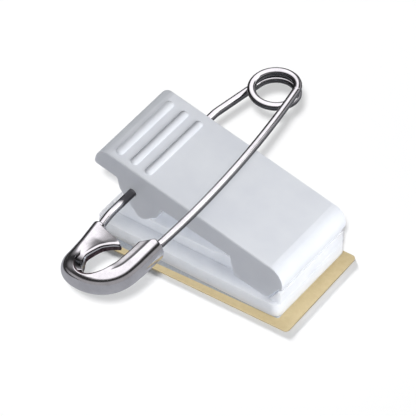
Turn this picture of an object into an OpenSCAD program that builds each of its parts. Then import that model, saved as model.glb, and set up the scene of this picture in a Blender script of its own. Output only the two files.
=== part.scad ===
// Clip pin: a badge fastener in millimetres.
// A moulded plate with a sticking pad carries a sprung clip lever, and a safety
// pin is threaded through the lever's pivot, so that it swings over the clip.
// X runs from the grip end to the jaw, Y along the pivot, Z up from the liner's
// underside, with the origin straight below the pivot.

/* [Pivot] */
// Height of the pivot's centre line above the liner's underside
pivot_z = 8.23; // [8:0.05:8.6]
// Radial clearance of the wire in its four holes
pivot_gap = 0.05; // [0.02:0.01:0.08]
// How far the clip sits along the wire, towards the coil
clip_y = 0.15; // [0:0.05:0.2]

/* [Base plate] */
// Width of the plate's flange
flange_w = 12.3; // [11.8:0.1:12.6]
// Left end of the flange, at the grip
flange_left = -4.45; // [-5:0.05:-4.2]
// Right end of the flange, at the jaw
flange_right = 18.34; // [18.32:0.02:18.5]
// Thickness of the flange
flange_t = 1.57; // [1.2:0.01:1.6]
// Width of the raised deck that the jaw closes on
deck_w = 8.6; // [7.6:0.1:8.6]
// Height of the deck's top above the liner's underside
deck_z = 4; // [3.4:0.05:4.05]
// Height of the deck's top under the jaw
jaw_deck_z = 4.35; // [4.1:0.05:4.35]
// Thickness of each of the two pivot ears
ear_t = 1.1; // [0.9:0.05:1.2]
// Radius of the ears' round tops
ear_r = 1.15; // [1.05:0.05:1.3]

/* [Sticking pad and liner] */
// Thickness of the foam pad
pad_t = 0.98; // [0.8:0.02:1]
// Width of the foam pad
pad_w = 11.2; // [10:0.1:11.4]
// Angle at which the pad sits askew under the plate
pad_skew = 2.6; // [0:0.1:3]
// Thickness of the paper liner
liner_t = 0.2; // [0.15:0.01:0.3]
// Length of the paper liner
liner_l = 24.7; // [24:0.1:26]
// Width of the paper liner
liner_w = 12.9; // [12.6:0.1:13.4]
// Angle at which the liner sits askew under the plate
liner_skew = 1.34; // [0:0.02:2]

/* [Clip lever] */
// Width over the two cheeks
lever_w = 11.3; // [11:0.1:11.4]
// Thickness of each cheek
cheek_t = 0.9; // [0.7:0.05:0.9]
// Downward slope of the closed lever, from grip to nose
lever_pitch = 13.34; // [13.3:0.01:13.4]
// Height of the lever's top face above the pivot, square to the face
lever_top = 3.03; // [2.9:0.01:3.03]
// Thickness of the top wall
lever_top_t = 1.1; // [0.8:0.05:1.2]
// Radius along the long edges of the top
lever_edge_r = 0.2; // [0.1:0.05:0.4]
// Radius of the round nose
nose_r = 2; // [1.6:0.1:2]
// Height of the three grip ribs
rib_h = 0.25; // [0.1:0.05:0.3]
// Width of a grip rib where it meets the top face
rib_w = 0.9; // [0.6:0.05:1]

/* [Safety pin wire] */
// Diameter of the spring wire
wire_d = 0.9; // [0.8:0.02:0.9]
// Radius of the coil, to the middle of the wire
coil_r = 2.4; // [2.3:0.05:2.5]
// Centre of the coil along X
coil_x = 3.42; // [3.3:0.02:3.5]
// Centre of the coil along Y
coil_y = 14.75; // [14.5:0.05:15.5]
// Height at which the pointed arm leaves the coil
coil_top_z = 9.65; // [9.6:0.01:9.8]
// Direction from the coil's centre to where the pointed arm leaves it
arm_leaves_at = 11.5; // [10:0.5:12]
// Greatest height of the pointed arm over the lever
arm_high_z = 10.26; // [10.26:0.01:10.4]
// Inward bow of the pointed arm for each square millimetre of its length
arm_bow = 0.0046; // [0.0044:0.0001:0.0048]
// Where the sharp point ends inside the cap
point_y = -15.3; // [-15.4:0.1:-14]

/* [Pin cap] */
// Thickness of the cap's sheet metal
cap_t = 0.28; // [0.2:0.01:0.3]
// Upward slope of the cap from the fixed arm to the pointed arm
cap_tilt = 14; // [13:0.5:14.5]

/* [Hidden] */
$fn = 48;

wire_r = wire_d / 2;
hole_r = wire_r + pivot_gap;
// heights of the stacked base
pad_z = liner_t;
flange_z = pad_z + pad_t;
flange_top = flange_z + flange_t;
eps = 0.05;

// Steps in each rounded corner of an outline, and sides of the wire
corner_steps = 5;
wire_sides = 12;

function unit(v) = v / norm(v);

// Corner arc of an outline: a, b and c are three corners as [x, y, radius]
function corner_arc(a, b, c) =
    let(to_a = unit([a[0] - b[0], a[1] - b[1]]),
        to_c = unit([c[0] - b[0], c[1] - b[1]]),
        half = acos(to_a * to_c) / 2,
        middle = [b[0], b[1]] + unit(to_a + to_c) * b[2] / sin(half),
        start = [b[0], b[1]] + to_a * b[2] / tan(half) - middle,
        turn = to_a[0] * to_c[1] - to_a[1] * to_c[0] > 0 ? 1 : -1,
        sweep = turn * (180 - 2 * half))
    b[2] == 0 ? [[b[0], b[1]]] :
    [for (k = [0:corner_steps])
        let(turned = -sweep * k / corner_steps)
        middle + [start[0] * cos(turned) - start[1] * sin(turned),
                  start[0] * sin(turned) + start[1] * cos(turned)]];

// Outline with each corner rounded to its own radius
function rounded(corners) =
    let(n = len(corners))
    [for (i = [0:n - 1])
        each corner_arc(corners[(i + n - 1) % n], corners[i], corners[(i + 1) % n])];

// Smooth curve through the rows of a table, column by column
function spline(a, b, c, d, t) =
    0.5 * (2 * b + (c - a) * t + (2 * a - 5 * b + 4 * c - d) * t * t
           + (3 * b - a - 3 * c + d) * t * t * t);
function smooth_rows(rows, steps) =
    let(last = len(rows) - 1)
    [for (i = [0:last - 1]) for (k = [0:steps - 1])
        spline(rows[max(i - 1, 0)], rows[i], rows[i + 1], rows[min(i + 2, last)], k / steps),
     rows[last]];

// Closed skin over a row of rings that all have the same number of points
module skin(rings) {
    sides = len(rings[0]);
    last = len(rings) - 1;
    polyhedron(
        points = [for (ring = rings) each ring],
        faces = [[for (j = [sides - 1:-1:0]) j],
                 for (i = [0:last - 1]) for (j = [0:sides - 1])
                     [i * sides + j, i * sides + (j + 1) % sides,
                      (i + 1) * sides + (j + 1) % sides, (i + 1) * sides + j],
                 [for (j = [0:sides - 1]) last * sides + j]],
        convexity = 6);
}

// Round wire along a path, with its own radius at each point
module wire(path, radii) {
    last = len(path) - 1;
    skin([for (i = [0:last])
        let(along = unit(path[min(i + 1, last)] - path[max(i - 1, 0)]),
            side = unit(cross(along, [0, 0, 1])),
            up = cross(side, along))
        [for (k = [0:wire_sides - 1])
            path[i] + radii[i] * (cos(360 * k / wire_sides) * side
                                  + sin(360 * k / wire_sides) * up)]]);
}

// Side outline in X and Z, extruded across the width
module across(y_from, y_to)
    translate([0, y_to, 0]) rotate([90, 0, 0]) linear_extrude(height = y_to - y_from)
        children();

// Flat rectangle with round corners, from its middle
module flat_plate(length, width, radius, height)
    linear_extrude(height = height) union() {
        square([length, width - 2 * radius], center = true);
        square([length - 2 * radius, width], center = true);
        for (x = [-1, 1], y = [-1, 1])
            translate([x * (length / 2 - radius), y * (width / 2 - radius)]) circle(r = radius);
    }

module pivot_hole(radius, length)
    translate([0, -length / 2, pivot_z]) rotate([-90, 0, 0]) cylinder(r = radius, h = length);

// BASE PLATE
flange_l = flange_right - flange_left;
flange_x = (flange_right + flange_left) / 2;
deck_left = -3.4;
deck_right = 17.9;
ramp_from = 9;
ramp_to = 10.5;
// the lip stands this far outside the slanted front edge of the lever's cheeks
lip_gap = 0.25;
lip_top = 4.2;
lip_right = 18.3;
lip_w = 11.2;
flange_corner_r = 1;
ear_foot = -3.3;
ear_y = deck_w / 2;
groove_x = -3.95;
groove = 0.25;

// Point at which a line from the point foot touches the round top of an ear
function touch_point(foot) =
    let(away = [-foot[0], pivot_z - foot[1]],
        bearing = atan2(away[1], away[0]) + asin(ear_r / norm(away)),
        reach = sqrt(away * away - ear_r * ear_r))
    foot + reach * [cos(bearing), sin(bearing)];

module ear_outline()
    union() {
        polygon([[ear_foot, flange_top], touch_point([ear_foot, flange_top]),
                 [0, pivot_z], [ear_r, pivot_z], [ear_r, flange_top - eps],
                 [ear_foot, flange_top - eps]]);
        translate([0, pivot_z]) circle(r = ear_r);
    }

module base_plate()
    color([0.86, 0.87, 0.89]) translate([0, clip_y, 0]) difference() {
        union() {
            translate([flange_x, 0, flange_z])
                flat_plate(flange_l, flange_w, flange_corner_r, flange_t);
            across(-deck_w / 2, deck_w / 2)
                polygon([[deck_left, flange_top - eps], [deck_left, deck_z], [ramp_from, deck_z],
                         [ramp_to, jaw_deck_z], [deck_right, jaw_deck_z],
                         [deck_right, flange_top - eps]]);
            across(-lip_w / 2, lip_w / 2)
                polygon([lip_foot, lip_head, [lip_right, lip_top], [lip_right, lip_foot[1]]]);
            for (side = [0, 1])
                mirror([0, side, 0]) across(ear_y - ear_t, ear_y) ear_outline();
        }
        pivot_hole(hole_r, flange_w);
        translate([groove_x - groove / 2, -flange_w, flange_top - groove])
            cube([groove, 2 * flange_w, 1]);
    }

// STICKING PAD, trimmed flush with the plate, AND RELEASE LINER
pad_l = 21.6;
pad_x = 6.8;
pad_y = -0.05;
pad_corner_r = 0.3;
pad_trim = [0.1, 0.06];
liner_x = 7.1;
liner_y = 0.03;
liner_corner_r = 0.5;

module sticking_pad()
    color([0.55, 0.6, 0.68]) intersection() {
        translate([pad_x, pad_y, pad_z]) rotate([0, 0, pad_skew])
            flat_plate(pad_l, pad_w, pad_corner_r, pad_t);
        translate([flange_x, clip_y, pad_z])
            flat_plate(flange_l - pad_trim[0], flange_w - pad_trim[1], flange_corner_r, pad_t);
    }

module release_liner()
    color([0.84, 0.76, 0.55]) translate([liner_x, liner_y, 0]) rotate([0, 0, liner_skew])
        flat_plate(liner_l, liner_w, liner_corner_r, liner_t);

// CLIP LEVER, drawn level with its pivot at the origin and then tipped nose down
grip_end = -5.05;
nose_end = 18.72;
nose_low = 0.87;
grip_r = 1.5;
wall = 0.95;
cheek_in = lever_w / 2 - cheek_t;

// Outline of the side, as [along, up, corner radius]: grip end, top, nose, jaw
// cheek with its slanted front, skirt, and the lobe round the pivot
cheek_front = [[18.38, 0.84], [17.6, -0.95]];
side_corners = [
    [grip_end, lever_top, grip_r],
    [nose_end, lever_top, nose_r],
    [nose_end, nose_low, 0.08],
    [cheek_front[0][0], cheek_front[0][1], 0.1],
    [cheek_front[1][0], cheek_front[1][1], 0.3],
    [17.2, -1.36, 0.3],
    [13.35, -1.54, 0.35],
    [12.3, 0.72, 0.3],
    [3.62, 0.45, 0.35],
    [3.4, -1.1, 0.6],
    [1.65, -2.95, 0.75],
    [-1.45, -0.62, 0.5],
    [-2.1, 0.66, 0.4],
    [grip_end + 0.05, 0.66, 0.35]];

// Point of the level lever after it has been tipped, in X and Z
function tipped(point) =
    [point[0] * cos(lever_pitch) + point[1] * sin(lever_pitch),
     pivot_z - point[0] * sin(lever_pitch) + point[1] * cos(lever_pitch)];

// The lip's inner face runs parallel to the slanted front of the cheeks
slant_from = tipped(cheek_front[1]);
slant = unit(tipped(cheek_front[0]) - slant_from);
lip_line = slant_from + lip_gap * [slant[1], -slant[0]];
function lip_point(z) = lip_line + slant * (z - lip_line[1]) / slant[1];
lip_foot = lip_point(flange_top - eps);
lip_head = lip_point(lip_top);

// Jaw bar under the nose, whose foot is parallel to the deck when closed
jaw_bar = [14.2, 15.6];
jaw_gap = 0.1;
function level_up(along, z) = (z - pivot_z + along * sin(lever_pitch)) / cos(lever_pitch);

rib_first = -3.03;
rib_step = 1.85;
rib_l = 9.6;
rib_y = -0.25;
// a rib is the top of a round bar that is sunk into the top wall
rib_bar_r = (rib_w * rib_w / 4 + rib_h * rib_h) / (2 * rib_h);

module rib()
    translate([0, 0, lever_top + rib_h - rib_bar_r]) {
        rotate([90, 0, 0]) cylinder(r = rib_bar_r, h = rib_l - 2 * rib_bar_r, center = true);
        for (end = [-1, 1])
            translate([0, end * (rib_l / 2 - rib_bar_r), 0]) sphere(r = rib_bar_r);
    }

module lever_block()
    intersection() {
        across(-lever_w / 2, lever_w / 2) polygon(rounded(side_corners));
        translate([grip_end - 1, 0, 0]) rotate([90, 0, 90])
            linear_extrude(height = nose_end - grip_end + 2)
                union() {
                    translate([-lever_w / 2, -5])
                        square([lever_w, 5 + lever_top - lever_edge_r]);
                    translate([-lever_w / 2 + lever_edge_r, -5])
                        square([lever_w - 2 * lever_edge_r, 5 + lever_top]);
                    for (end = [-1, 1])
                        translate([end * (lever_w / 2 - lever_edge_r), lever_top - lever_edge_r])
                            circle(r = lever_edge_r);
                }
    }

module clip_lever()
    color([0.93, 0.94, 0.96]) translate([0, clip_y, pivot_z]) rotate([0, lever_pitch, 0])
        difference() {
            union() {
                difference() {
                    lever_block();
                    across(-cheek_in, cheek_in)
                        polygon([[grip_end + wall, -5], [grip_end + wall, lever_top - lever_top_t],
                                 [nose_end - wall, lever_top - lever_top_t],
                                 [nose_end - wall, nose_low], [nose_end + 1, nose_low],
                                 [nose_end + 1, -5]]);
                }
                across(-cheek_in - eps, cheek_in + eps)
                    polygon([[jaw_bar[0], lever_top - lever_top_t + eps],
                             [jaw_bar[0], level_up(jaw_bar[0], jaw_deck_z + jaw_gap)],
                             [jaw_bar[1], level_up(jaw_bar[1], jaw_deck_z + jaw_gap)],
                             [jaw_bar[1], lever_top - lever_top_t + eps]]);
                for (k = [0:2])
                    translate([rib_first + k * rib_step, rib_y, 0]) rib();
            }
            rotate([90, 0, 0]) cylinder(r = hole_r, h = 2 * lever_w, center = true);
        }

// SAFETY PIN WIRE: the straight arm in the pivot, its drift into the cap, and the coil
straight_y = 8.5;
overlap_y = 0.2;
drift_r = 9.4;
drift_y = 1.6;
fixed_end_y = -16.4;
// the bent ends are this much thinner than the straight rod they are joined to
bent_r = wire_r - 0.002;

// Sideways drift of the fixed arm at the distance y in front of the pivot
function drift(y) =
    let(past = y - straight_y)
    past < 0 ? 0 :
    past < drift_y ? past * past / (2 * drift_r) :
    drift_y * drift_y / (2 * drift_r) + (past - drift_y) * drift_y / drift_r;

// Point in the plane of the cap: across from the pivot, along Y, and square to it
function in_cap(p, y, h) =
    [p * cos(cap_tilt) - h * sin(cap_tilt), y, pivot_z + p * sin(cap_tilt) + h * cos(cap_tilt)];

cap_end_path = [for (y = [-straight_y + overlap_y, -straight_y, -9.3, -10.1, -12, -14, fixed_end_y])
    in_cap(drift(-y), y, 0)];

// The rear of the fixed arm bends towards the coil and touches it at coil_enters_at
bend_y = 8.99;
function entry_angle(guess) = 180 - atan2(coil_x - coil_r * cos(180 - guess), coil_y - bend_y
                                          + coil_r * sin(180 - guess));
coil_enters_at = entry_angle(entry_angle(entry_angle(170)));
lean = 180 - coil_enters_at;
coil_turn = 360 + coil_enters_at - arm_leaves_at;
coil_drop = coil_top_z - pivot_z;
coil_steps = 44;
bend_r = 4;
bend_l = bend_r * tan(lean / 2);

function coil_point(turn) =
    [coil_x + coil_r * cos(arm_leaves_at + turn), coil_y + coil_r * sin(arm_leaves_at + turn),
     coil_top_z - coil_drop * turn / coil_turn];

rear_path = [
    [0, straight_y - overlap_y, pivot_z],
    for (k = [0:3])
        let(turned = lean * k / 3)
        [bend_r * (1 - cos(turned)), bend_y - bend_l + bend_r * sin(turned), pivot_z],
    for (k = [0:coil_steps]) coil_point(coil_turn * (1 - k / coil_steps))];

function same(value, path) = [for (point = path) value];

module pin_wire()
    color([0.72, 0.73, 0.76]) union() {
        pivot_hole(wire_r, 2 * straight_y);
        mirror([0, 1, 0]) wire([for (point = cap_end_path) [point[0], -point[1], point[2]]],
                               same(bent_r, cap_end_path));
        wire(rear_path, same(bent_r, rear_path));
    }

// POINTED ARM: leaves the coil on its tangent, bows over the lever and ends sharp
arm_from = coil_point(0);
arm_gap = 0.06;
arm_high_y = -4;
arm_rings = 22;
taper_l = 3.6;
tip_r = 0.06;

function arm_point(y) =
    let(back = arm_from[1] - y,
        fall = (coil_top_z - arm_high_z) / pow(arm_from[1] - arm_high_y, 2))
    [arm_from[0] + back * tan(arm_leaves_at) - arm_bow * back * back, y,
     arm_high_z + fall * pow(max(y - arm_high_y, 0), 2)];

arm_path = [for (k = [0:arm_rings])
    arm_point(arm_from[1] - arm_gap + (point_y - arm_from[1] + arm_gap) * k / arm_rings)];
arm_radii = [for (point = arm_path)
    tip_r + (wire_r - tip_r) * min((point[1] - point_y) / taper_l, 1)];

module pointed_arm()
    color([0.72, 0.73, 0.76]) wire(arm_path, arm_radii);

// PIN CAP: sheet rolled round the fixed arm, swept through a bend and opened
// into a hook for the point, with a domed tongue between the two limbs.
// Columns: across, along, outer radius, height of the centre, the angles from the
// outward side at which the wall begins and ends, and how far (0 to 1) its inner
// side is flattened and its edge turned in
cap_rows = [
    [0.36, -11.4, 0.78, 0, -172, 172, 0, 0],
    [0.60, -12.9, 0.78, 0, -172, 172, 0, 0],
    [0.86, -14.5, 0.80, 0, -170, 170, 0, 0],
    [1.10, -16.1, 0.92, -0.05, -150, 150, 0, 0],
    [1.42, -17.35, 1.12, -0.1, -125, 122, 0, 0],
    [2.20, -18.2, 1.28, -0.1, -112, 108, 0, 0],
    [3.50, -18.6, 1.38, -0.1, -110, 66, 0, 1],
    [5.05, -18.65, 1.43, -0.1, -110, 60, 0, 1],
    [6.40, -18.15, 1.47, -0.1, -110, 72, 0.35, 1],
    [7.20, -17.1, 1.49, -0.08, -110, 92, 0.9, 0.7],
    [7.48, -15.6, 1.5, -0.04, -110, 98, 1, 0.4],
    [7.56, -14, 1.5, -0.02, -110, 98, 1, 0.4],
    [7.58, -12.1, 1.5, -0.02, -110, 98, 1, 0.4]];
cap_steps = 2;
cap_wall_steps = 11;
cap_path = smooth_rows(cap_rows, cap_steps);
// the inner side, in stretches. Columns: steps, share of the radius and turn where
// the wall is round, share of the radius and turn where it is flattened
inner_wall = [[3, 0.07, 4, 0.41, 48], [1, 0.035, 2, 0.2, -11], [1, 0.035, 2, 0.29, 0]];
ridge_angle = 50;
edge_steps = 2;
edge_l = 0.3;
edge_turn = 45;
plain_edge_turn = 4;
round_turn = plain_edge_turn + inner_wall[0][2] + inner_wall[1][2] + inner_wall[2][2];
// the hook's mouth is cut back on its inner side, from mouth_cut_from off its centre
mouth_y = cap_rows[len(cap_rows) - 1][1];
hook_from_x = 5;
mouth_cut = 1;
mouth_cut_l = 2.2;
mouth_cut_from = 0.8;
mouth_cut_span = 1.2;
mouth_cut_power = 1.2;

function mix(a, b, part) = a + (b - a) * part;

// length and turn of every step of the wall's section, from its outer end
function wall_steps(row) =
    let(radius = row[2],
        flat = row[6],
        turned_in = row[7],
        outer_turn = mix(row[5] - round_turn, ridge_angle, flat) - row[4],
        stretches = concat(
            [[cap_wall_steps, arc(radius, outer_turn), outer_turn]],
            [for (part = inner_wall)
                [part[0], radius * mix(part[1], part[3], flat), mix(part[2], part[4], flat)]],
            [[edge_steps, mix(arc(radius, plain_edge_turn), edge_l, turned_in),
              mix(plain_edge_turn, edge_turn, turned_in)]]))
    [for (stretch = stretches) for (k = [1:stretch[0]])
        [stretch[1] / stretch[0], stretch[2] / stretch[0]]];

function arc(radius, turn) = radius * turn * PI / 180;

// points of the wall's outer face from its centre, each with the way it faces
function walk(at, angle, steps, k = 0) =
    let(here = [[at[0], at[1], angle]])
    k == len(steps) ? here :
    let(middle = angle + steps[k][1] / 2,
        next = at + steps[k][0] * [-sin(middle), cos(middle)])
    concat(here, walk(next, angle + steps[k][1], steps, k + 1));

function cut_back(across, y, out) =
    across < hook_from_x ? 0 :
    mouth_cut * pow(max(mouth_cut_from - out, 0) / mouth_cut_span, mouth_cut_power)
        * max(1 - (mouth_y - y) / mouth_cut_l, 0);

function cap_ring(i) =
    let(row = cap_path[i],
        ahead = cap_path[min(i + 1, len(cap_path) - 1)],
        behind = cap_path[max(i - 1, 0)],
        along = unit([ahead[0] - behind[0], ahead[1] - behind[1]]),
        wall = walk(row[2] * [cos(row[4]), sin(row[4])], row[4], wall_steps(row)),
        last = len(wall) - 1)
    [for (inside = [0, 1]) for (k = [0:last])
        let(point = wall[inside == 0 ? k : last - k],
            angle = point[2],
            out = point[0] - inside * cap_t * cos(angle),
            up = point[1] - inside * cap_t * sin(angle))
        in_cap(row[0] + out * along[1],
               row[1] - out * along[0] - cut_back(row[0], row[1], point[0]),
               row[3] + up)];

// Tongue, in rows from its free upper edge to its foot under the bend. Columns:
// where it leaves the rolled limb (across, along, height) and where it ends
tongue_rows = [
    [0.36, -11.5, 0.75, 4.4, -13.15, 0.72],
    [0.5, -12.2, 0.75, 4.55, -13.5, 0.72],
    [0.68, -13.1, 0.76, 3.75, -13.85, 0.74],
    [0.85, -14.1, 0.77, 3.05, -14.45, 0.76],
    [1.0, -15, 0.8, 2.65, -15.35, 0.74],
    [1.15, -15.9, 0.84, 2.38, -16.15, 0.66],
    [1.3, -16.8, 0.9, 2.42, -16.65, 0.52],
    [1.55, -17.4, 0.95, 2.68, -17.1, 0.45],
    [1.95, -18, 1, 3, -17.6, 0.6],
    [2.5, -18.5, 0.92, 3.35, -18.1, 0.75],
    [3, -18.9, 0.85, 3.8, -18.6, 0.8]];
tongue_path = smooth_rows(tongue_rows, 2);
// section of the tongue: share of its width, rise of the dome, and how far it is
// turned down at the end
tongue_section = [[0, 0, 0], [0.2, -0.1, 0], [0.45, -0.17, 0], [0.72, -0.2, 0],
                  [0.92, -0.2, 0], [1, -0.17, 0.2], [1, -0.12, 0.95]];
// width from which the tongue is hollowed in full
wide_tongue = 2.8;
// share of the sheet's thickness by which the turned-down end leans
turn_lean = 0.3;

function tongue_ring(row) =
    let(n = len(tongue_section),
        hollow = min(norm([row[3] - row[0], row[4] - row[1]]) / wide_tongue, 1))
    [for (face = [0, 1]) for (k = [0:n - 1])
        let(cut = tongue_section[face == 0 ? k : n - 1 - k],
            turned = cut[2] > 0 ? 1 : 0,
            p = mix(row[0], row[3] - face * turned * cap_t, cut[0]),
            y = mix(row[1], row[4] + face * turned * cap_t * turn_lean, cut[0]),
            h = mix(row[2], row[5], cut[0]) + cut[1] * hollow - cut[2])
        in_cap(p, y, h - face * cap_t * (cut[2] > 0.5 ? 0 : 1))];

// resize() with zeros keeps every size and joins the two skins into one mesh
module pin_cap()
    color([0.72, 0.73, 0.76]) resize([0, 0, 0]) union() {
        skin([for (i = [0:len(cap_path) - 1]) cap_ring(i)]);
        skin([for (row = tongue_path) tongue_ring(row)]);
    }

base_plate();
sticking_pad();
release_liner();
clip_lever();
pin_wire();
pin_cap();
pointed_arm();
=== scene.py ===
import math

import bmesh
import bpy
from mathutils import Matrix, Vector


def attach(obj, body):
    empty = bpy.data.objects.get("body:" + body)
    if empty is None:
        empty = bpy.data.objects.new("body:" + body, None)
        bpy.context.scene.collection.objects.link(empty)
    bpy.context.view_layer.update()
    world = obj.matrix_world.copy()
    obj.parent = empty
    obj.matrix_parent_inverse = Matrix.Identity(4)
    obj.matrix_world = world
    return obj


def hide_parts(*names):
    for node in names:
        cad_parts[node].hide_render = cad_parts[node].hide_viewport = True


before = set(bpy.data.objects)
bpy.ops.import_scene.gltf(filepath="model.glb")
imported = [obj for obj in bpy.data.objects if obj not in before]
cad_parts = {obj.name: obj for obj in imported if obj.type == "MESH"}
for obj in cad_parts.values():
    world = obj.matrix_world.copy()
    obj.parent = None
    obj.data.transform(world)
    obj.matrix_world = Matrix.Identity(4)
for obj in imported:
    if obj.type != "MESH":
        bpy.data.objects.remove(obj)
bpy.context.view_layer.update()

# STUDIO. The clip pin lies on a plain white table, seen from above its cap's side.
# A bright ceiling over dark walls is what the plated steel shows. The table, the
# liner and the rest have soft lights of their own, as a cut-out laid on white has.
MM = 0.001
AIM_MM = (5.471, 0, 4.773)
VIEW_AZIMUTH, VIEW_ELEVATION, VIEW_ROLL = (math.radians(a) for a in (35.842, 44.047, -0.418))
VIEW_DISTANCE = 0.45
LENS = 382.2
SENSOR = 36
ROOM = 0.12
CEILING = 1.3
CEILING_WAY = (-0.157, 0.073, 0.985)
DARK_WALL_WAY = (-0.819, 0.574, 0)
# Past these distances toward the dark wall, the table as metal reflects it is painted near-black
# (painted shade).
DARK_TABLE_FROM, DARK_TABLE_TO = 0.012, 0.028


def direction(azimuth, elevation):
    """Direction from the table's middle to something that stands round it."""
    return Vector((math.sin(azimuth) * math.cos(elevation),
                   -math.cos(azimuth) * math.cos(elevation), math.sin(elevation)))


aim = Vector(AIM_MM) * MM
back = direction(VIEW_AZIMUTH, VIEW_ELEVATION)
level_right = Vector((math.cos(VIEW_AZIMUTH), math.sin(VIEW_AZIMUTH), 0))
level_up = back.cross(level_right)
right = math.cos(VIEW_ROLL) * level_right + math.sin(VIEW_ROLL) * level_up
up = back.cross(right)
camera = bpy.data.objects.new("camera", bpy.data.cameras.new("camera"))
camera.data.lens = LENS
camera.data.sensor_width = SENSOR
camera.data.clip_start = 0.01
camera.data.clip_end = 10
camera.matrix_world = Matrix((
    (right.x, up.x, back.x, aim.x + back.x * VIEW_DISTANCE),
    (right.y, up.y, back.y, aim.y + back.y * VIEW_DISTANCE),
    (right.z, up.z, back.z, aim.z + back.z * VIEW_DISTANCE),
    (0, 0, 0, 1)))
bpy.context.scene.collection.objects.link(camera)
bpy.context.scene.camera = camera
bpy.context.scene.view_settings.view_transform = "Standard"


def soft_light(name, azimuth, elevation, distance, size, watts, only, cast_by=None, mirrored=False):
    """Square soft light on the things in only, cast by those in cast_by, or a mirrored panel."""
    lamp = bpy.data.lights.new(name, "AREA")
    lamp.size = size
    lamp.energy = watts
    light = bpy.data.objects.new(name, lamp)
    bpy.context.scene.collection.objects.link(light)
    away = direction(math.radians(azimuth), math.radians(elevation))
    light.location = aim + away * distance
    light.rotation_euler = away.to_track_quat("Z", "Y").to_euler()
    light.visible_camera = False
    light.visible_diffuse, light.visible_glossy = not mirrored, mirrored
    light.light_linking.receiver_collection = only
    if cast_by:
        light.light_linking.blocker_collection = cast_by


def node_maker(tree):
    """Short way to add nodes to a tree: make("ShaderNodeX", inputs={...}, attribute=value)."""
    def make(kind, inputs=None, **settings):
        node = tree.nodes.new(kind)
        for key, value in settings.items():
            setattr(node, key, value)
        for key, value in (inputs or {}).items():
            if isinstance(value, bpy.types.NodeSocket):
                tree.links.new(value, node.inputs[key])
            else:
                node.inputs[key].default_value = value
        return node
    return make


def group(name, inside):
    collection = bpy.data.collections.new(name)
    inside.children.link(collection)
    return collection


table_only = group("table", bpy.context.scene.collection)
object_only = group("object", bpy.context.scene.collection)
wires = group("wires", object_only)
broad_pieces = group("broad_pieces", object_only)
plastics = group("plastics", broad_pieces)
low_pieces = group("low_pieces", plastics)
paper_only = group("paper", bpy.context.scene.collection)

bm = bmesh.new()
bmesh.ops.create_grid(bm, x_segments=1, y_segments=1, size=3)
table_mesh = bpy.data.meshes.new("table_top")
bm.to_mesh(table_mesh)
bm.free()
table = bpy.data.objects.new("table_top", table_mesh)
table_only.objects.link(table)
paint = bpy.data.materials.new("table_white")
paint.use_nodes = True
paint.node_tree.nodes.clear()
make = node_maker(paint.node_tree)
# Painted reflection and painted shade: the table is white to the camera, but grey where metal
# reflects it, fading to near-black past a line toward the dark wall.
rays = make("ShaderNodeLightPath")
spot = make("ShaderNodeNewGeometry").outputs["Position"]
along_wall = make("ShaderNodeVectorMath", {0: spot, 1: DARK_WALL_WAY}, operation="DOT_PRODUCT")
painted_wall_shade = make("ShaderNodeMapRange", {"Value": along_wall.outputs["Value"],
                                         "From Min": DARK_TABLE_FROM,
                                         "From Max": DARK_TABLE_TO})
painted_reflected_top = make("ShaderNodeMix", {0: painted_wall_shade.outputs[0], 6: (0.36, 0.365, 0.39, 1),
                                      7: (0.03, 0.03, 0.03, 1)}, data_type="RGBA")
other_top = make("ShaderNodeMix", {0: rays.outputs["Is Glossy Ray"], 6: (0.25, 0.25, 0.27, 1),
                                   7: painted_reflected_top.outputs[2]}, data_type="RGBA")
seen_top = make("ShaderNodeMix", {0: rays.outputs["Is Camera Ray"], 6: other_top.outputs[2],
                                  7: (0.9, 0.9, 0.9, 1)}, data_type="RGBA")
top = make("ShaderNodeBsdfDiffuse", {"Color": seen_top.outputs[2]})
make("ShaderNodeOutputMaterial", {"Surface": top.outputs[0]})
table_mesh.materials.append(paint)

world = bpy.data.worlds.new("room")
world.use_nodes = True
world.node_tree.nodes.clear()
bpy.context.scene.world = world
make = node_maker(world.node_tree)
rays = make("ShaderNodeLightPath")
toward = make("ShaderNodeTexCoord").outputs["Generated"]


def shades(factor, stops):
    """Ramp of greys over a factor: stops are (place, brightness)."""
    ramp = make("ShaderNodeValToRGB", {"Fac": factor})
    while len(ramp.color_ramp.elements) < len(stops):
        ramp.color_ramp.elements.new(1)
    for element, (place, grey) in zip(ramp.color_ramp.elements, stops):
        element.position = place
        element.color = (grey, grey * 0.97, grey, 1)
    return ramp.outputs[0]


def share(way):
    """How far a direction points the way of a unit vector, from 0 to 1."""
    along = make("ShaderNodeVectorMath", {0: toward, 1: way}, operation="DOT_PRODUCT")
    return along.outputs["Value"]


to_ceiling, to_dark_wall = share(CEILING_WAY), share(DARK_WALL_WAY)
room_seen = shades(to_ceiling, [(0, 0.3), (0.26, 0.3), (0.34, 0.03), (0.53, 0.03),
                                (0.6, 0.25), (0.68, 1)])
wall_seen = shades(to_ceiling, [(0, 0.02), (0.32, 0.02), (0.45, 0.12), (0.58, 0.25), (0.68, 1)])
at_wall = shades(to_dark_wall, [(0.5, 0), (0.8, 1)])
mirror = make("ShaderNodeMix", {0: at_wall, 6: room_seen, 7: wall_seen}, data_type="RGBA")
mirrored = make("ShaderNodeBackground", {"Color": mirror.outputs[2], "Strength": CEILING})
room_light = make("ShaderNodeBackground", {"Color": (0.96, 0.98, 1, 1), "Strength": ROOM})
backdrop = make("ShaderNodeBackground", {"Color": (1, 1, 1, 1), "Strength": 1})
seen = make("ShaderNodeMixShader", {0: rays.outputs["Is Glossy Ray"], 1: room_light.outputs[0],
                                    2: mirrored.outputs[0]})
room = make("ShaderNodeMixShader", {0: rays.outputs["Is Camera Ray"], 1: seen.outputs[0],
                                    2: backdrop.outputs[0]})
make("ShaderNodeOutputWorld", {"Surface": room.outputs[0]})

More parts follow.
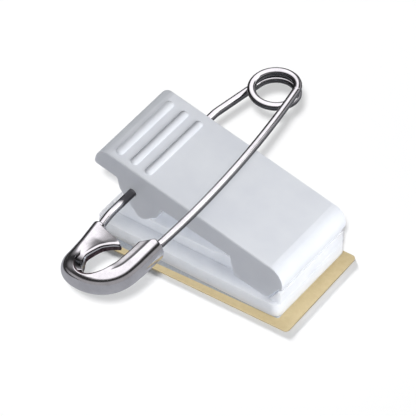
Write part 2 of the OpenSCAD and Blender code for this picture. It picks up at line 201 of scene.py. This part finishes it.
soft_light("right_low", 100, 8, 0.5, 0.12, 0.72, object_only, plastics)
soft_light("right", 80, 25, 0.15, 0.08, 0.118, object_only, plastics)
soft_light("front", 20, 30, 0.3, 0.15, 0.22, object_only, low_pieces)
soft_light("back", 120, 35, 0.5, 0.2, 0.66, object_only, low_pieces)
soft_light("plate", 25, 20, 0.3, 0.2, 0.27, low_pieces, low_pieces)
soft_light("grip_end", -88, 6, 0.3, 0.1, 0.65, plastics, plastics)
soft_light("paper", 40, 40, 0.3, 0.15, 0.97, paper_only, low_pieces)
soft_light("wire_panel", 136, 36, 0.5, 0.22, 0.19, wires, mirrored=True)
soft_light("table_front", 32, 48.5, 1.5, 0.1, 14.7, table_only)
soft_light("table_back", -126, 9, 1.5, 0.16, 70, table_only, paper_only)


# BASE PLATE. One translucent white moulding: a flange, the raised deck that the jaw
# closes on, an end lip and the two ears that carry the pivot. Its edges are rounded
# as the mould leaves them.
BASE_EDGE_MM = 0.14
WELD = 2e-6


def finished(name, mesh, body, slot, material, *nodes, among=broad_pieces):
    """Links a mesh as a piece that rides on body and stands for the CAD nodes named."""
    piece = bpy.data.objects.new(name, mesh)
    among.objects.link(piece)
    if material:
        mesh.materials.clear()
        mesh.materials.append(material)
    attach(piece, body)
    if nodes:
        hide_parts(*nodes)
    return piece


def moulding(node, name):
    """Copy of a CAD node as one welded shell with whole flat faces."""
    mesh = bpy.data.meshes.new(name)
    bm = bmesh.new()
    bm.from_mesh(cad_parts[node].data)
    bmesh.ops.remove_doubles(bm, verts=bm.verts, dist=WELD)
    bmesh.ops.dissolve_limit(bm, angle_limit=math.radians(1), verts=bm.verts, edges=bm.edges)
    for face in bm.faces:
        face.smooth = True
    bm.to_mesh(mesh)
    bm.free()
    return mesh


def round_edges(piece, radius, over_degrees=28, steps=3):
    bevel = piece.modifiers.new("rounded_edges", "BEVEL")
    bevel.width = radius
    bevel.segments = steps
    bevel.limit_method = "ANGLE"
    bevel.angle_limit = math.radians(over_degrees)
    bevel.miter_outer = "MITER_ARC"
    flat = piece.modifiers.new("flat_faces", "WEIGHTED_NORMAL")
    flat.mode = "FACE_AREA"
    flat.weight = 100
    flat.keep_sharp = True


def principled(name, **settings):
    """New material with a Principled shader: returns it, its shader and its node maker."""
    material = bpy.data.materials.new(name)
    material.use_nodes = True
    material.node_tree.nodes.clear()
    make = node_maker(material.node_tree)
    shader = make("ShaderNodeBsdfPrincipled", settings)
    make("ShaderNodeOutputMaterial", {"Surface": shader.outputs[0]})
    return material, shader, make


milky, shader, make = principled("milky_plastic", **{
    "Roughness": 0.3, "IOR": 1.5, "Subsurface Weight": 0.8,
    "Subsurface Radius": (1.0, 1.0, 1.0), "Subsurface Scale": 0.002})
place = make("ShaderNodeTexCoord")
clouds = make("ShaderNodeTexNoise", {"Vector": place.outputs["Object"], "Scale": 420,
                                     "Detail": 4, "Roughness": 0.6})
tint = make("ShaderNodeValToRGB", {"Fac": clouds.outputs["Fac"]})
tint.color_ramp.elements[0].position = 0.3
tint.color_ramp.elements[0].color = (0.72, 0.745, 0.79, 1)
tint.color_ramp.elements[1].position = 0.7
tint.color_ramp.elements[1].color = (0.79, 0.81, 0.85, 1)
grain = make("ShaderNodeTexNoise", {"Vector": place.outputs["Object"], "Scale": 3500, "Detail": 3})
relief = make("ShaderNodeBump", {"Height": grain.outputs["Fac"], "Strength": 0.12,
                                 "Distance": 0.00002})
shader.id_data.links.new(tint.outputs[0], shader.inputs["Base Color"])
shader.id_data.links.new(relief.outputs[0], shader.inputs["Normal"])
base = finished("base_moulding", moulding("base_plate", "base_moulding"), "base",
                "translucent_plastic", milky, "base_plate", among=low_pieces)
round_edges(base, BASE_EDGE_MM * MM)


# STICKING PAD. Closed-cell foam tape, slate grey, stuck a little askew under the
# plate. Its cut sides show the cells.
foam, shader, make = principled("slate_foam", **{"Roughness": 0.75, "IOR": 1.45})
place = make("ShaderNodeTexCoord")
cells = make("ShaderNodeTexVoronoi", {"Vector": place.outputs["Object"], "Scale": 5200})
tint = make("ShaderNodeValToRGB", {"Fac": cells.outputs["Distance"]})
tint.color_ramp.elements[0].color = (0.34, 0.38, 0.46, 1)
tint.color_ramp.elements[1].color = (0.48, 0.53, 0.61, 1)
relief = make("ShaderNodeBump", {"Height": cells.outputs["Distance"], "Strength": 0.5,
                                 "Distance": 0.00005})
shader.id_data.links.new(tint.outputs[0], shader.inputs["Base Color"])
shader.id_data.links.new(relief.outputs[0], shader.inputs["Normal"])
pad = finished("foam_pad", moulding("sticking_pad", "foam_pad"), "base", "foam", foam,
               "sticking_pad", among=low_pieces)
round_edges(pad, 0.06 * MM)


# RELEASE LINER. Coated tan paper over the pad's adhesive, cut larger than the pad so
# that it peels off easily.
paper, shader, make = principled("liner_tan", **{"Roughness": 0.55, "IOR": 1.45})
place = make("ShaderNodeTexCoord")
fibres = make("ShaderNodeTexNoise", {"Vector": place.outputs["Object"], "Scale": 1800,
                                     "Detail": 6, "Roughness": 0.7})
tint = make("ShaderNodeValToRGB", {"Fac": fibres.outputs["Fac"]})
tint.color_ramp.elements[0].position = 0.3
tint.color_ramp.elements[0].color = (0.655, 0.53, 0.3, 1)
tint.color_ramp.elements[1].position = 0.7
tint.color_ramp.elements[1].color = (0.725, 0.6, 0.36, 1)
relief = make("ShaderNodeBump", {"Height": fibres.outputs["Fac"], "Strength": 0.2,
                                 "Distance": 0.00002})
shader.id_data.links.new(tint.outputs[0], shader.inputs["Base Color"])
shader.id_data.links.new(relief.outputs[0], shader.inputs["Normal"])
liner = finished("liner_sheet", moulding("release_liner", "liner_sheet"), "base", "liner_paper",
                 paper, "release_liner", among=paper_only)
round_edges(liner, 0.03 * MM, steps=2)


# CLIP LEVER. A glossy white moulding: top wall, two cheeks with the pivot lobes and
# the jaw, a round nose and three grip ribs.
gloss, shader, make = principled("glossy_white", **{
    "Roughness": 0.22, "IOR": 1.5, "Subsurface Weight": 0.2,
    "Subsurface Radius": (1.0, 1.0, 1.0), "Subsurface Scale": 0.0006})
place = make("ShaderNodeTexCoord")
clouds = make("ShaderNodeTexNoise", {"Vector": place.outputs["Object"], "Scale": 260,
                                     "Detail": 3, "Roughness": 0.5})
tint = make("ShaderNodeValToRGB", {"Fac": clouds.outputs["Fac"]})
tint.color_ramp.elements[0].position = 0.3
tint.color_ramp.elements[0].color = (0.74, 0.765, 0.82, 1)
tint.color_ramp.elements[1].position = 0.7
tint.color_ramp.elements[1].color = (0.8, 0.825, 0.87, 1)
sink = make("ShaderNodeTexNoise", {"Vector": place.outputs["Object"], "Scale": 900, "Detail": 2})
relief = make("ShaderNodeBump", {"Height": sink.outputs["Fac"], "Strength": 0.1,
                                 "Distance": 0.00003})
shader.id_data.links.new(tint.outputs[0], shader.inputs["Base Color"])
shader.id_data.links.new(relief.outputs[0], shader.inputs["Normal"])
lever = finished("lever_moulding", moulding("clip_lever", "lever_moulding"), "lever",
                 "white_plastic", gloss, "clip_lever", among=plastics)
round_edges(lever, 0.1 * MM, over_degrees=35, steps=2)


# SAFETY PIN WIRE. Bright nickel-plated spring wire. Its straight arm is the clip's
# pivot, and it goes on into the coil behind.
WIRE_R = 0.45
PIVOT_Z = 8.23
CAP_TILT = math.radians(14)
COIL_X, COIL_Y, COIL_R = 3.42, 14.75, 2.4
COIL_TOP_Z = 9.65
ARM_LEAVES_AT = 11.5
BEND_Y, BEND_R = 8.99, 4
COIL_STEPS = 120


def in_cap(p, y, h):
    """Point in the plane of the cap: across from the pivot, along Y, and square to it."""
    return Vector((p * math.cos(CAP_TILT) - h * math.sin(CAP_TILT), y,
                   PIVOT_Z + p * math.sin(CAP_TILT) + h * math.cos(CAP_TILT)))


def drift(past):
    """Sideways drift of the fixed arm, past the straight stretch in the pivot."""
    drift_r, drift_l = 9.4, 1.6
    if past < drift_l:
        return max(past, 0) ** 2 / (2 * drift_r)
    return drift_l ** 2 / (2 * drift_r) + (past - drift_l) * drift_l / drift_r


lean = math.radians(9.7)
for _ in range(3):
    lean = math.atan2(COIL_X - COIL_R * math.cos(lean),
                      COIL_Y - BEND_Y + COIL_R * math.sin(lean))
coil_turn = 360 + 180 - math.degrees(lean) - ARM_LEAVES_AT


def coil_point(turn):
    angle = math.radians(ARM_LEAVES_AT + turn)
    return Vector((COIL_X + COIL_R * math.cos(angle), COIL_Y + COIL_R * math.sin(angle),
                   COIL_TOP_Z - (COIL_TOP_Z - PIVOT_Z) * turn / coil_turn))


# The way the lights come from: the wire is painted darker as its surface turns away from it
# (painted shade).
LIT_WAY = Vector((0.29, 0, 0.957))


def round_wire(name, path, radii):
    """Mesh of a round wire along a path in millimetres, with its radius at each point.
    Its attribute says how far the surface is turned up toward the lights, for the painted shade
    round the wire's sides."""
    curve = bpy.data.curves.new(name, "CURVE")
    curve.dimensions = "3D"
    curve.bevel_depth = MM
    curve.bevel_resolution = 8
    curve.use_fill_caps = True
    spline = curve.splines.new("POLY")
    spline.points.add(len(path) - 1)
    for point, at, radius in zip(spline.points, path, radii):
        point.co = (*(at * MM), 1)
        point.radius = radius
    holder = bpy.data.objects.new(name, curve)
    mesh = bpy.data.meshes.new_from_object(holder)
    bpy.data.objects.remove(holder)
    bm = bmesh.new()
    bm.from_mesh(mesh)
    bmesh.ops.remove_doubles(bm, verts=bm.verts, dist=WELD / 4)
    for face in bm.faces:
        face.smooth = len(face.verts) == 4
    bm.to_mesh(mesh)
    bm.free()
    lit_side = mesh.attributes.new("lit_side", "FLOAT", "POINT")
    for vertex in mesh.vertices:
        lit_side.data[vertex.index].value = max(vertex.normal.dot(LIT_WAY), 0)
    return mesh


def plated(name):
    """Bright nickel plate with faint stains: the material, its shader, node maker and colour."""
    material, shader, make = principled(name, **{"Metallic": 1})
    place = make("ShaderNodeTexCoord")
    stains = make("ShaderNodeTexNoise", {"Vector": place.outputs["Object"], "Scale": 700,
                                         "Detail": 5, "Roughness": 0.65})
    tint = make("ShaderNodeValToRGB", {"Fac": stains.outputs["Fac"]})
    tint.color_ramp.elements[0].position = 0.3
    tint.color_ramp.elements[0].color = (0.7, 0.69, 0.71, 1)
    tint.color_ramp.elements[1].position = 0.65
    tint.color_ramp.elements[1].color = (0.82, 0.81, 0.83, 1)
    haze = make("ShaderNodeMapRange", {"Value": stains.outputs["Fac"], "From Min": 0.3,
                                       "From Max": 0.7, "To Min": 0.14, "To Max": 0.08})
    draw = make("ShaderNodeTexNoise", {"Vector": place.outputs["Object"], "Scale": 5000,
                                       "Detail": 2})
    relief = make("ShaderNodeBump", {"Height": draw.outputs["Fac"], "Strength": 0.06,
                                     "Distance": 0.00001})
    shader.id_data.links.new(tint.outputs[0], shader.inputs["Base Color"])
    shader.id_data.links.new(haze.outputs[0], shader.inputs["Roughness"])
    shader.id_data.links.new(relief.outputs[0], shader.inputs["Normal"])
    return material, shader, make, tint


# The wire's colour carries painted shade: full on the side turned up toward the lights,
# darkened round its sides and below, and near-black where it enters the pivot, where the lever's
# shadow falls.
# Painted shadow: the fixed arm is painted near-black where it enters the pivot, fading out along
# it.
BLACK_Y, BLACK_L, BLACK_FADED_L, BLACK_BELOW_X = -0.0065, 0.0007, 0.0014, 0.001
nickel, shader, make, tint = plated("wire_nickel")
place = make("ShaderNodeTexCoord")
lit_side = make("ShaderNodeAttribute", attribute_name="lit_side")
lit_share = make("ShaderNodeMapRange", {"Value": lit_side.outputs["Fac"], "From Min": 0.5,
                                   "From Max": 0.88, "To Min": 0.18, "To Max": 1},
            interpolation_type="SMOOTHSTEP")
painted_side_shade = make("ShaderNodeMix", {0: lit_share.outputs[0], 6: (0, 0, 0, 1), 7: tint.outputs[0]},
              data_type="RGBA")
spot = make("ShaderNodeSeparateXYZ", {0: place.outputs["Object"]})
off_pivot = make("ShaderNodeMath", {0: spot.outputs["Y"], 1: BLACK_Y}, operation="SUBTRACT")
distance = make("ShaderNodeMath", {0: off_pivot.outputs[0]}, operation="ABSOLUTE")
unshaded = make("ShaderNodeMapRange", {"Value": distance.outputs[0], "From Min": BLACK_L,
                                    "From Max": BLACK_FADED_L, "To Min": 0.15, "To Max": 1},
             interpolation_type="SMOOTHSTEP")
other_arm = make("ShaderNodeMath", {0: spot.outputs["X"], 1: BLACK_BELOW_X},
                 operation="GREATER_THAN")
unshaded_or_other_arm = make("ShaderNodeMath", {0: unshaded.outputs[0], 1: other_arm.outputs[0]},
               operation="MAXIMUM")
painted_pivot_shade = make("ShaderNodeMix", {0: unshaded_or_other_arm.outputs[0], 6: (0.06, 0.055, 0.06, 1),
                                   7: painted_side_shade.outputs[2]}, data_type="RGBA")
shader.id_data.links.new(painted_pivot_shade.outputs[2], shader.inputs["Base Color"])

STRAIGHT_Y = 8.5
into_cap = [in_cap(drift(-y - STRAIGHT_Y), y, 0)
            for y in (-16.4, -15, -14, -13, -12, -11, -10.6, -10.1, -9.9, -9.7, -9.5, -9.3, -9.1,
                      -8.9, -8.7, -8.5)]
bend_start = BEND_Y - BEND_R * math.tan(lean / 2)
bend = [Vector((BEND_R * (1 - math.cos(lean * k / 8)), bend_start + BEND_R * math.sin(lean * k / 8),
                PIVOT_Z)) for k in range(9)]
coil = [coil_point(coil_turn * (1 - k / COIL_STEPS)) for k in range(COIL_STEPS + 1)]
wire_path = into_cap + [Vector((0, y, PIVOT_Z)) for y in range(-8, 9)] + bend + coil
wire = finished("wire_and_coil", round_wire("wire_and_coil", wire_path, [WIRE_R] * len(wire_path)),
                "pin", "wire_steel", nickel, "pin_wire", among=wires)


# POINTED ARM. The sprung half of the same wire: it leaves the coil on its tangent,
# bows over the lever and is ground to a sharp point inside the cap.
ARM_HIGH_Z, ARM_HIGH_Y = 10.26, -4
ARM_BOW = 0.0046
POINT_Y = -15.3
TAPER_L, TIP_R = 3.6, 0.06
arm_from = coil_point(0)


def arm_point(y):
    along = arm_from.y - y
    across = arm_from.x + along * math.tan(math.radians(ARM_LEAVES_AT)) - ARM_BOW * along ** 2
    fall = (COIL_TOP_Z - ARM_HIGH_Z) / (arm_from.y - ARM_HIGH_Y) ** 2
    return Vector((across, y, ARM_HIGH_Z + fall * max(y - ARM_HIGH_Y, 0) ** 2))


ARM_STEPS = 90
TUCKED_TURN, TUCKED_STEPS, TUCKED_SHARE = 6, 3, 0.996
arm_path = [coil_point(TUCKED_TURN * (1 - k / TUCKED_STEPS)) for k in range(TUCKED_STEPS)]
arm_path += [arm_point(arm_from.y + (POINT_Y - arm_from.y) * k / ARM_STEPS)
             for k in range(ARM_STEPS + 1)]
arm_radii = [TUCKED_SHARE * (TIP_R + (WIRE_R - TIP_R) * min(max(p.y - POINT_Y, 0) / TAPER_L, 1))
             for p in arm_path]
arm = finished("pointed_wire", round_wire("pointed_wire", arm_path, arm_radii), "pin_arm",
               "wire_steel", nickel, "pointed_arm", among=wires)


# PIN CAP. Thin nickel-plated sheet, rolled tight round the fixed arm, swept through a
# bend and opened into a hook for the point, with a domed tongue between the limbs.
# Its cut edges and the back of the sheet are near-black: raw steel, darkened further with painted
# shade.
CAP_SHEET = 0.28
CAP_ROWS = [  # across, along, outer radius, height, wall from and to, flatness, turned in
    (0.36, -11.4, 0.78, 0, -172, 172, 0, 0),
    (0.60, -12.9, 0.78, 0, -172, 172, 0, 0),
    (0.86, -14.5, 0.80, 0, -170, 170, 0, 0),
    (1.10, -16.1, 0.92, -0.05, -150, 150, 0, 0),
    (1.42, -17.35, 1.12, -0.1, -125, 122, 0, 0),
    (2.20, -18.2, 1.28, -0.1, -112, 108, 0, 0),
    (3.50, -18.6, 1.38, -0.1, -110, 66, 0, 1),
    (5.05, -18.65, 1.43, -0.1, -110, 60, 0, 1),
    (6.40, -18.15, 1.47, -0.1, -110, 72, 0.35, 1),
    (7.20, -17.1, 1.49, -0.08, -110, 92, 0.9, 0.7),
    (7.48, -15.6, 1.5, -0.04, -110, 98, 1, 0.4),
    (7.56, -14, 1.5, -0.02, -110, 98, 1, 0.4),
    (7.58, -12.1, 1.5, -0.02, -110, 98, 1, 0.4)]
CAP_STEPS = 6
WALL_STEPS = 24
INNER_WALL = [  # steps, share of the radius, turn (degrees) where round, where flattened
    (8, 0.07, 4, 0.41, 48), (4, 0.035, 2, 0.2, -11), (3, 0.035, 2, 0.29, 0)]
RIDGE_ANGLE = 50
EDGE_STEPS, EDGE_L, EDGE_TURN, PLAIN_EDGE_TURN = 4, 0.3, 45, 4
CAP_COLUMNS = WALL_STEPS + sum(part[0] for part in INNER_WALL) + EDGE_STEPS
HOOK_FROM_X, MOUTH_Y = 5, -12.1
MOUTH_CUT, MOUTH_CUT_L, MOUTH_CUT_FROM, MOUTH_CUT_SPAN = 1, 2.2, 0.8, 1.2
MOUTH_CUT_POWER = 1.2


def smooth_rows(rows, steps):
    """Smooth curve through the rows of a table, column by column."""
    last = len(rows) - 1
    out = []
    for i in range(last):
        four = [rows[max(i - 1, 0)], rows[i], rows[i + 1], rows[min(i + 2, last)]]
        for k in range(steps):
            t = k / steps
            out.append([0.5 * (2 * b + (c - a) * t + (2 * a - 5 * b + 4 * c - d) * t * t
                               + (3 * b - a - 3 * c + d) * t ** 3) for a, b, c, d in zip(*four)])
    return out + [list(rows[last])]


def sheet_grid(name, rows, columns, place, dark_from, plate):
    """Mesh of a sheet: a grid whose point in row i and column k goes to place(i, k), with
    its outer face in the plate material up to the column given and near-black steel past it
    (raw steel darkened with painted shade)."""
    bm = bmesh.new()
    bmesh.ops.create_grid(bm, x_segments=columns - 1, y_segments=rows - 1, size=0.5)
    column = {vert: round((vert.co.x + 0.5) * (columns - 1)) for vert in bm.verts}
    for vert in bm.verts:
        vert.co = place(round((vert.co.y + 0.5) * (rows - 1)), column[vert]) * MM
    bmesh.ops.reverse_faces(bm, faces=bm.faces)
    for face in bm.faces:
        face.smooth = True
        face.material_index = int(min(column[vert] for vert in face.verts) >= dark_from)
    mesh = bpy.data.meshes.new(name)
    mesh.materials.append(plate)
    mesh.materials.append(shaded_raw_steel)
    bm.to_mesh(mesh)
    bm.free()
    return mesh


def give_thickness(piece, thickness, offset):
    solid = piece.modifiers.new("sheet", "SOLIDIFY")
    solid.thickness = thickness
    solid.offset = offset
    solid.use_even_offset = True
    solid.material_offset = solid.material_offset_rim = 1
    smooth = piece.modifiers.new("smooth", "SUBSURF")
    smooth.levels = smooth.render_levels = 1


cap_path = smooth_rows(CAP_ROWS, CAP_STEPS)


def mix(a, b, part):
    return a + (b - a) * part


def wall_point(row, k):
    """Where column k of the wall is in its section, from the centre."""
    radius, first, last, flat, turned_in = row[2], *row[4:]
    round_turn = PLAIN_EDGE_TURN + sum(part[2] for part in INNER_WALL)
    outer_turn = mix(last - round_turn, RIDGE_ANGLE, flat) - first
    walk = [(WALL_STEPS, radius * math.radians(outer_turn), outer_turn)]
    walk += [(count, radius * mix(length, flat_length, flat), mix(turn, flat_turn, flat))
             for count, length, turn, flat_length, flat_turn in INNER_WALL]
    walk.append((EDGE_STEPS, mix(radius * math.radians(PLAIN_EDGE_TURN), EDGE_L, turned_in),
                 mix(PLAIN_EDGE_TURN, EDGE_TURN, turned_in)))
    angle = first
    at = Vector((math.cos(math.radians(first)), math.sin(math.radians(first)))) * radius
    for count, length, turn in walk:
        for _ in range(min(k, count)):
            middle = math.radians(angle + turn / count / 2)
            at += Vector((-math.sin(middle), math.cos(middle))) * length / count
            angle += turn / count
        k -= min(k, count)
    return at


def cap_point(i, k):
    row = cap_path[i]
    ahead, behind = cap_path[min(i + 1, len(cap_path) - 1)], cap_path[max(i - 1, 0)]
    along = Vector((ahead[0] - behind[0], ahead[1] - behind[1])).normalized()
    out, height = wall_point(row, k)
    cut = 0
    if row[0] > HOOK_FROM_X:
        cut = (MOUTH_CUT * (max(MOUTH_CUT_FROM - out, 0) / MOUTH_CUT_SPAN) ** MOUTH_CUT_POWER
               * max(1 - (MOUTH_Y - row[1]) / MOUTH_CUT_L, 0))
    return in_cap(row[0] + out * along.y, row[1] - out * along.x - cut, row[3] + height)


cap_nickel = plated("cap_nickel")[0]
# Near-black steel for the cap's cut edges, the back of its sheet and the tongue's turned-down edge:
# raw steel, darkened with painted shade.
shaded_raw_steel, shader, make = principled("shaded_raw_steel", **{"Metallic": 1, "Roughness": 0.4})
place = make("ShaderNodeTexCoord")
mottle = make("ShaderNodeTexNoise", {"Vector": place.outputs["Object"], "Scale": 2500,
                                    "Detail": 4, "Roughness": 0.6})
tint = make("ShaderNodeValToRGB", {"Fac": mottle.outputs["Fac"]})
tint.color_ramp.elements[0].position = 0.35
tint.color_ramp.elements[0].color = (0.05, 0.03, 0.035, 1)
tint.color_ramp.elements[1].position = 0.7
tint.color_ramp.elements[1].color = (0.16, 0.12, 0.13, 1)
relief = make("ShaderNodeBump", {"Height": mottle.outputs["Fac"], "Strength": 0.2,
                                 "Distance": 0.00002})
shader.id_data.links.new(tint.outputs[0], shader.inputs["Base Color"])
shader.id_data.links.new(relief.outputs[0], shader.inputs["Normal"])

# The roll's turned-in edge, past its last columns, and the back of the sheet take the near-black
# steel (painted shade).
cap = finished("cap_roll", sheet_grid("cap_roll", len(cap_path), CAP_COLUMNS + 1, cap_point,
                                      CAP_COLUMNS - EDGE_STEPS + 1, cap_nickel),
               "pin", "cap_steel", None, "pin_cap")
give_thickness(cap, CAP_SHEET * MM, -1)

TONGUE_ROWS = [  # leaves the roll (across, along, height), ends (across, along, height)
    (0.36, -11.5, 0.75, 4.4, -13.15, 0.72),
    (0.5, -12.2, 0.75, 4.55, -13.5, 0.72),
    (0.68, -13.1, 0.76, 3.75, -13.85, 0.74),
    (0.85, -14.1, 0.77, 3.05, -14.45, 0.76),
    (1.0, -15, 0.8, 2.65, -15.35, 0.74),
    (1.15, -15.9, 0.84, 2.38, -16.15, 0.66),
    (1.3, -16.8, 0.9, 2.42, -16.65, 0.52),
    (1.55, -17.4, 0.95, 2.68, -17.1, 0.45),
    (1.95, -18, 1, 3, -17.6, 0.6),
    (2.5, -18.5, 0.92, 3.35, -18.1, 0.75),
    (3, -18.9, 0.85, 3.8, -18.6, 0.8)]
TONGUE_SECTION = [  # share of the width, rise, turned down
    (0, 0, 0), (0.2, -0.1, 0), (0.45, -0.17, 0), (0.72, -0.2, 0), (0.92, -0.2, 0),
    (1, -0.17, 0.2), (1, -0.12, 0.95)]
TURNED_COLUMNS = 4
WIDE_TONGUE = 2.8
tongue_path = smooth_rows(TONGUE_ROWS, 5)
tongue_section = smooth_rows(TONGUE_SECTION, 4)


def tongue_point(i, k):
    root, end = tongue_path[i][:3], tongue_path[i][3:]
    share, rise, down = tongue_section[k]
    across, along, height = (mix(a, b, share) for a, b in zip(root, end))
    width = math.dist(root[:2], end[:2])
    return in_cap(across, along, height + rise * min(width / WIDE_TONGUE, 1) - down)


# Painted shade: the tongue is painted near-black round the crease where it meets the roll.
CREASE, CREASE_R, CREASE_FADED_R = (0.0021, -0.0177, 0.0095), 0.0007, 0.0015
tongue_nickel, shader, make, tint = plated("tongue_nickel")
place = make("ShaderNodeTexCoord")
off_crease = make("ShaderNodeVectorMath", {0: place.outputs["Object"], 1: CREASE},
                  operation="DISTANCE")
unshaded = make("ShaderNodeMapRange", {"Value": off_crease.outputs["Value"],
                                    "From Min": CREASE_R, "From Max": CREASE_FADED_R,
                                    "To Min": 0.12, "To Max": 1},
             interpolation_type="SMOOTHSTEP")
painted_crease_shade = make("ShaderNodeMix", {0: unshaded.outputs[0], 6: (0.02, 0.018, 0.02, 1),
                                 7: tint.outputs[0]}, data_type="RGBA")
shader.id_data.links.new(painted_crease_shade.outputs[2], shader.inputs["Base Color"])

# The tongue's turned-down edge and the back of its sheet take the near-black steel: painted shade.
tongue = finished("cap_tongue", sheet_grid("cap_tongue", len(tongue_path), len(tongue_section),
                                           tongue_point, len(tongue_section) - TURNED_COLUMNS,
                                           tongue_nickel),
                  "pin", "cap_steel", None)
give_thickness(tongue, CAP_SHEET * MM, -1)
